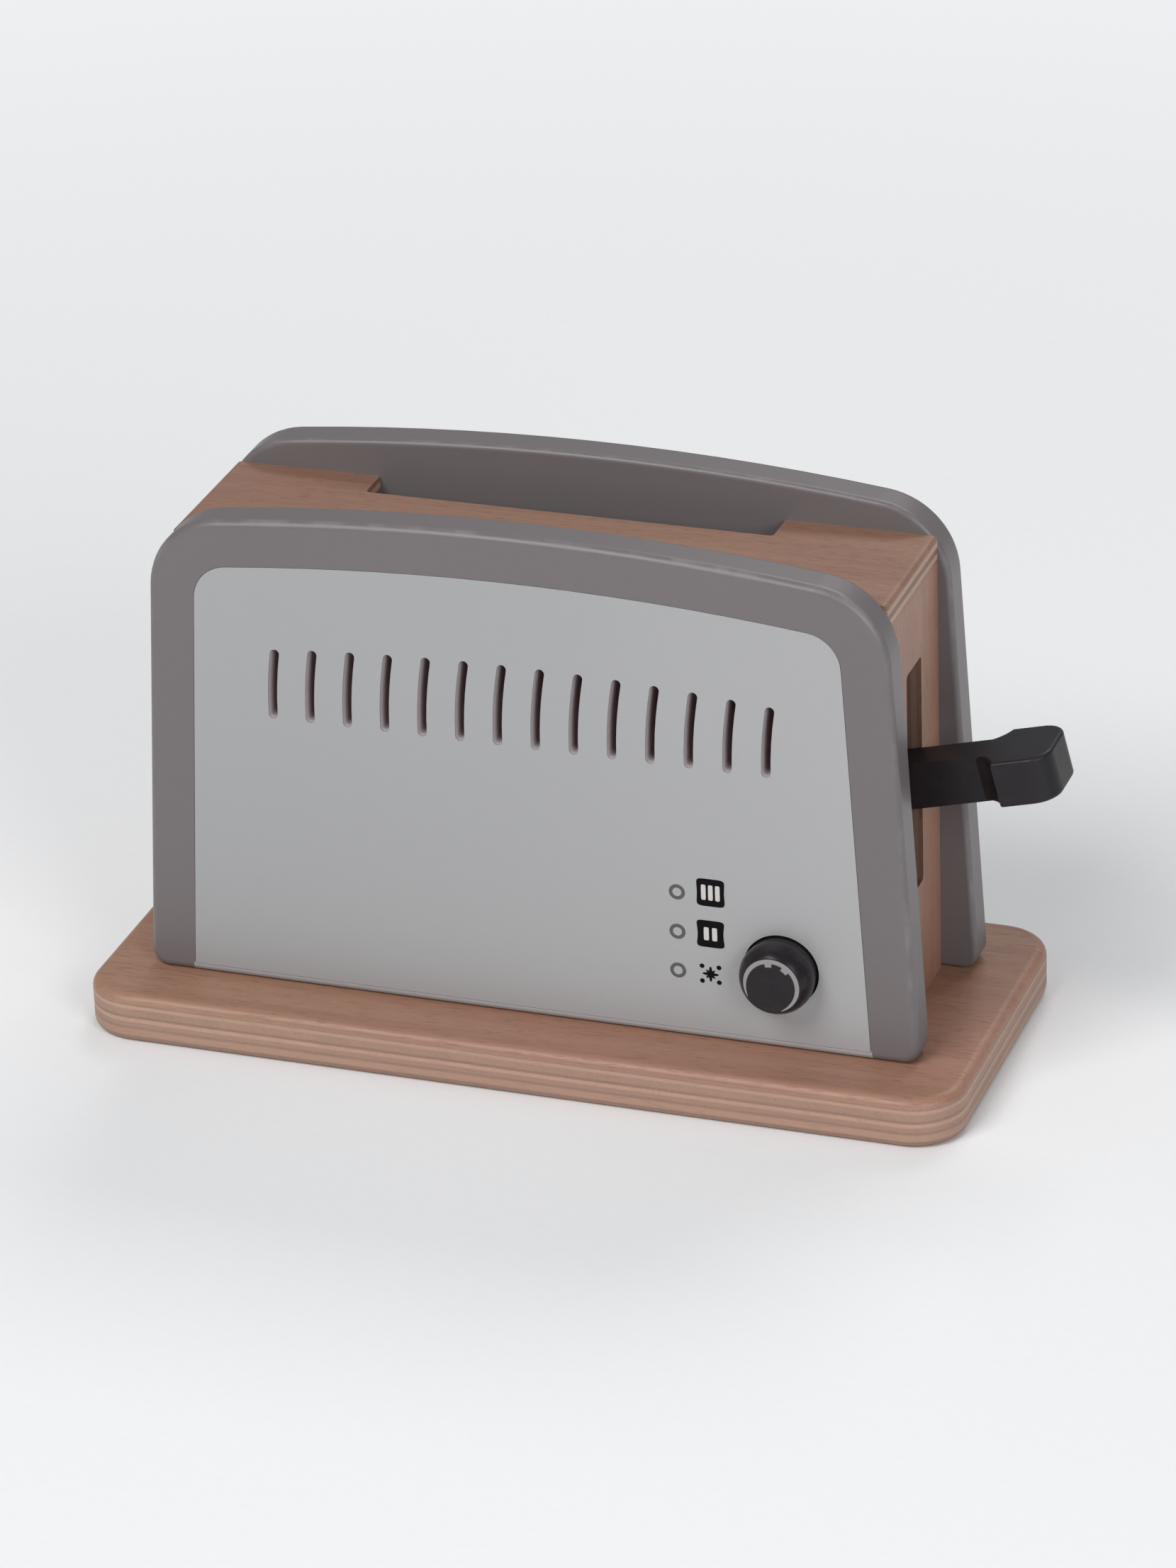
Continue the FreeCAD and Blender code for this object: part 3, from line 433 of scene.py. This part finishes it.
def skin(name, rings, body, material, ends_meet=False):
    """Join rings of points, each the same length, into one closed surface.

    rings[i, j] is the point at step i along the profile and step j around the piece.
    Where ends_meet, the last ring joins the first as in a hoop; otherwise a fan of
    triangles closes each end at the middle of its ring.
    """
    count, around = rings.shape[:2]
    points = rings.reshape(-1, 3)
    index = np.arange(count * around).reshape(count, around)
    here = index if ends_meet else index[:-1]
    there = np.roll(index, -1, axis=0) if ends_meet else index[1:]
    quads = np.stack([here, np.roll(here, -1, axis=1), np.roll(there, -1, axis=1), there],
                     axis=-1).reshape(-1, 4)
    faces = np.concatenate([quads[:, [0, 1, 2]], quads[:, [0, 2, 3]]])
    if not ends_meet:
        first, last = len(points), len(points) + 1
        points = np.vstack([points, rings[0].mean(axis=0), rings[-1].mean(axis=0)])
        start, end = index[0], index[-1]
        faces = np.concatenate([
            faces,
            np.stack([np.roll(start, -1), start, np.full(around, first)], axis=-1),
            np.stack([end, np.roll(end, -1), np.full(around, last)], axis=-1)])
    a, b, c = (points[faces[:, corner]] for corner in range(3))
    if np.einsum("ij,ij->i", a, np.cross(b, c)).sum() < 0:
        faces = faces[:, ::-1]
    mesh = bpy.data.meshes.new(name)
    mesh.from_pydata((points * MM).tolist(), [], faces.tolist())
    mesh.materials.append(material)
    mesh.shade_smooth()
    piece = bpy.data.objects.new(name, mesh)
    bpy.context.scene.collection.objects.link(piece)
    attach(piece, body)


def turns_of(steps):
    """Angles of one turn in equal steps, without its end."""
    return np.arange(steps) * (2 * np.pi / steps)


def superellipse(half_width, half_height, square, waist=0.0, steps=96):
    """Outline |x/w|^n + |z/h|^n = 1, pulled in at mid-height by a share called waist."""
    turn = turns_of(steps)
    c, s = np.cos(turn), np.sin(turn)
    x = half_width * np.sign(c) * np.abs(c) ** (2 / square)
    z = half_height * np.sign(s) * np.abs(s) ** (2 / square)
    return np.stack([x * (1 - waist * (1 - (z / half_height) ** 2)), z], axis=-1)


FACE = -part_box("front_face_sheet")[0].y / MM
INK_LIFT = 0.05
PROFILE_SHARES = np.array([0.5, 0.98, 1.0, 1.0, 0.97, 0.90, 0.5])
PROFILE_LIFTS = np.array([-0.5, -0.5, -0.4, 0.5, 0.85, 1.0, 1.0])


def printed(name, outline, x, z, material, lift=INK_LIFT, ground=0.0):
    """A thin printed patch on the front: the outline, shrunk about x, z and lifted.

    Each ring is the outline times a share, at a height that is a share of the lift;
    the shares follow a low crowned profile from the hidden back to the face.
    """
    flat = outline[None] * PROFILE_SHARES[:, None, None]
    depth = np.broadcast_to((-FACE - ground - lift * PROFILE_LIFTS)[:, None], flat.shape[:2])
    rings = np.stack([x + flat[..., 0], depth, z + flat[..., 1]], axis=-1)
    skin(name, rings, "toaster", material)


HOOP_ACROSS = np.array([-0.5, -0.5, -0.3, 0.3, 0.5, 0.5])
HOOP_LIFT = np.array([-0.5, 0.5, 1.0, 1.0, 0.5, -0.5])
RING_RADIUS = 1.34
RING_WIDTH = 0.74


def setting_ring(name, x, z, material):
    """A thin printed ring on the front: radius + u(v) across, lift h(v), turned about Y."""
    reach = (RING_RADIUS + HOOP_ACROSS * RING_WIDTH)[:, None]
    lift = (HOOP_LIFT * INK_LIFT)[:, None]
    turn = turns_of(96)[None]
    rings = np.stack([x + reach * np.cos(turn), -FACE - lift + 0 * turn,
                      z + reach * np.sin(turn)], axis=-1)
    skin(name, rings, "toaster", material, ends_meet=True)


ring_ink = ink("ring_ink", colour(0.105, 0.100, 0.100))
icon_ink = ink("icon_ink", colour(0.003, 0.002, 0.003))
pale_ink = ink("pale_ink", colour(0.56, 0.54, 0.53))
dial_ink = ink("dial_ink", colour(0.27, 0.265, 0.27))

for number, (x, z) in enumerate(((33.3, 44.1), (33.2, 35.1), (33.1, 26.2)), 1):
    setting_ring(f"setting_ring_{number}", x, z, ring_ink)

# Bread slices: a black slice with a waist, and pale bars on it
Slice = namedtuple("Slice", "name x z half_width half_height waist bars bar_half bar_rise")
BAR_LIFT = 0.04
for icon in (Slice("three_bar", 40.45, 44.8, 3.2, 3.1, 0.10, (-1.49, 0.0, 1.49), 0.5, 1.72),
             Slice("two_bar", 40.25, 35.4, 3.25, 3.05, 0.16, (-0.88, 0.88), 0.55, 1.48)):
    printed(f"{icon.name}_slice_icon",
            superellipse(icon.half_width, icon.half_height, 6, icon.waist), icon.x, icon.z,
            icon_ink)
    for number, offset in enumerate(icon.bars, 1):
        printed(f"{icon.name}_icon_bar_{number}", superellipse(icon.bar_half, icon.bar_rise, 7),
                icon.x + offset, icon.z, pale_ink, BAR_LIFT, INK_LIFT)

# Frost sign: a star with four long and four short rays, and a dot in each corner
FROST_X, FROST_Z = 40.05, 26.2
DOT_ACROSS, DOT_UP, DOT_RADIUS = 1.8, 1.7, 0.52
turn = turns_of(96)
star = 0.68 + 1.05 * np.abs(np.cos(2 * turn)) ** 6 + 0.65 * np.abs(np.sin(2 * turn)) ** 9
printed("frost_star", np.stack([star * np.cos(turn), star * np.sin(turn)], axis=-1),
        FROST_X, FROST_Z, icon_ink)
for number, (across, up) in enumerate(((-1, 1), (1, 1), (1, -1), (-1, -1)), 1):
    printed(f"frost_dot_{number}", superellipse(DOT_RADIUS, DOT_RADIUS, 2, steps=32),
            FROST_X + across * DOT_ACROSS, FROST_Z + up * DOT_UP, icon_ink)

# Dial ring printed on the knob's face, with two ticks that point inwards
knob_low, knob_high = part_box("button_knob")
knob_x = (knob_low.x + knob_high.x) / 2 / MM
knob_z = (knob_low.z + knob_high.z) / 2 / MM
knob_face = -knob_low.y / MM
EASE_START = 5.75
EASE = 0.5
DIAL_ACROSS = np.array([0.0, 0.0, 0.12, 0.4, 0.7, 0.9, 1.0, 1.0, 0.5])
DIAL_LIFT = np.array([-0.03, 0.02, 0.03, 0.03, 0.03, 0.03, 0.02, -0.03, -0.03])


def on_knob(radius, angle, lift):
    """Points at a radius and angle on the knob's face, which falls away past its edge.

    The fall is that of the rounded edge: e - sqrt(e^2 - (r - r0)^2) beyond r0.
    """
    past = np.clip(radius - EASE_START, 0, EASE)
    fall = EASE - np.sqrt(EASE ** 2 - past ** 2)
    return np.stack([knob_x + radius * np.cos(angle), -(knob_face - fall + lift) + 0 * angle,
                     knob_z + radius * np.sin(angle)], axis=-1)


def dial_mark(name, inner, outer, start, end, steps, taper=0.0):
    """A band on the knob's face between two radii and two angles in degrees.

    Its outer edge keeps its radius and its inner edge closes on it towards both ends
    by a share called taper, so that the band thins out.
    """
    share = np.linspace(0, 1, steps)
    angle = np.radians(start + (end - start) * share)
    thin = 1 - taper * (2 * share - 1) ** 4
    inside = outer - (outer - inner) * thin
    radius = inside[:, None] + (outer - inside)[:, None] * DIAL_ACROSS[None]
    rings = on_knob(radius, np.broadcast_to(angle[:, None], radius.shape), DIAL_LIFT[None])
    skin(name, rings, "button_body", dial_ink)


dial_mark("dial_ring", 4.95, 6.03, -70, 212, 128, 0.8)
dial_mark("dial_tick_left", 4.15, 5.05, 88, 106, 8)
dial_mark("dial_tick_right", 4.2, 5.05, 42, 62, 8)

# Floor, which turns into the backdrop far from the toaster, and the air around it
FLOOR_HALF = 6.0
FLOOR_TONE = colour(0.84, 0.845, 0.855)
BACKDROP = colour(0.93, 0.94, 0.95)
AIR_TONE = colour(0.95, 0.97, 1.0)
AIR_STRENGTH = 0.30
FADE_START, FADE_END = 240.0, 1000.0
floor_mesh = bpy.data.meshes.new("studio_floor")
floor_mesh.from_pydata([(-FLOOR_HALF, -FLOOR_HALF, 0), (FLOOR_HALF, -FLOOR_HALF, 0),
                        (FLOOR_HALF, FLOOR_HALF, 0), (-FLOOR_HALF, FLOOR_HALF, 0)], [],
                       [(0, 1, 2, 3)])
floor = bpy.data.objects.new("studio_floor", floor_mesh)
bpy.context.scene.collection.objects.link(floor)
paper = Finish("floor_paper")
fibre = paper.cloud(0.4, 3.0)
away = (paper.x ** 2 + paper.y ** 2) ** 0.5
seen_far = (away.rise(FADE_START, FADE_END)
            * paper.node("ShaderNodeLightPath", give="Is Camera Ray"))
floor_mesh.materials.append(paper.done(
    paper.shade(FLOOR_TONE, 0.985 + fibre * 0.03), 0.65 + fibre * 0.05, fibre, 0.01,
    backdrop=(seen_far, BACKDROP), Specular_IOR_Level=0.1))

world = bpy.data.worlds.new("studio_air")
world.use_nodes = True
bpy.context.scene.world = world
air = world.node_tree
air.nodes.clear()
seen = air.nodes.new("ShaderNodeLightPath")
backdrop = air.nodes.new("ShaderNodeBackground")
backdrop.inputs["Color"].default_value = BACKDROP
soft_air = air.nodes.new("ShaderNodeBackground")
soft_air.inputs["Color"].default_value = AIR_TONE
soft_air.inputs["Strength"].default_value = AIR_STRENGTH
either = air.nodes.new("ShaderNodeMixShader")
shown = air.nodes.new("ShaderNodeOutputWorld")
air.links.new(seen.outputs["Is Camera Ray"], either.inputs["Fac"])
air.links.new(soft_air.outputs[0], either.inputs[1])
air.links.new(backdrop.outputs[0], either.inputs[2])
air.links.new(either.outputs[0], shown.inputs["Surface"])


def softbox(name, place, width, height, power, tint=(1, 1, 1)):
    """A rectangular lamp at a place in metres, turned towards the toaster's middle."""
    lamp = bpy.data.lights.new(name, "AREA")
    lamp.shape = "RECTANGLE"
    lamp.size = width
    lamp.size_y = height
    lamp.energy = power
    lamp.color = tint
    holder = bpy.data.objects.new(name, lamp)
    way = MIDDLE - Vector(place)
    turned = way.to_track_quat("-Z", "Y").to_matrix().to_4x4()
    holder.matrix_world = Matrix.Translation(place) @ turned
    bpy.context.scene.collection.objects.link(holder)


MIDDLE = Vector((0.0, 0.0, 0.06))
softbox("key_softbox", (-0.8, -1.7, 2.1), 1.3, 1.3, 45.0, (1.0, 0.99, 0.97))
softbox("fill_softbox", (1.3, -1.3, 0.9), 0.8, 0.8, 14.0, (0.98, 0.99, 1.0))
softbox("crest_softbox", (0.2, 1.5, 1.8), 1.2, 0.8, 15.0)

# Camera at the photograph's viewpoint, closer in; angles in radians
AZIMUTH = 0.35595617
ELEVATION = 0.46376691
ROLL = -0.04038018
DISTANCE = 1337.779
ASIDE, BELOW = 5.680, 14.029
AIM = Vector((0, 0, 55))
LENS = 148.72
SHIFT_X, SHIFT_Y = 0.0343, 0.0344
right = Vector((math.cos(AZIMUTH), math.sin(AZIMUTH), 0))
back = Vector((math.sin(AZIMUTH) * math.cos(ELEVATION),
               -math.cos(AZIMUTH) * math.cos(ELEVATION), math.sin(ELEVATION)))
up = back.cross(right)
rolled_right = right * math.cos(ROLL) + up * math.sin(ROLL)
rolled_up = up * math.cos(ROLL) - right * math.sin(ROLL)
place = (AIM - rolled_right * ASIDE - rolled_up * BELOW + back * DISTANCE) * MM
eye = bpy.data.cameras.new("studio_camera")
eye.sensor_width = 36
eye.lens = LENS
eye.shift_x = SHIFT_X
eye.shift_y = SHIFT_Y
eye.clip_start = 0.05
camera = bpy.data.objects.new("studio_camera", eye)
turned = Matrix((rolled_right, rolled_up, back)).transposed().to_4x4()
camera.matrix_world = Matrix.Translation(place) @ turned
bpy.context.scene.collection.objects.link(camera)
bpy.context.scene.camera = camera
bpy.context.scene.view_settings.view_transform = "Standard"
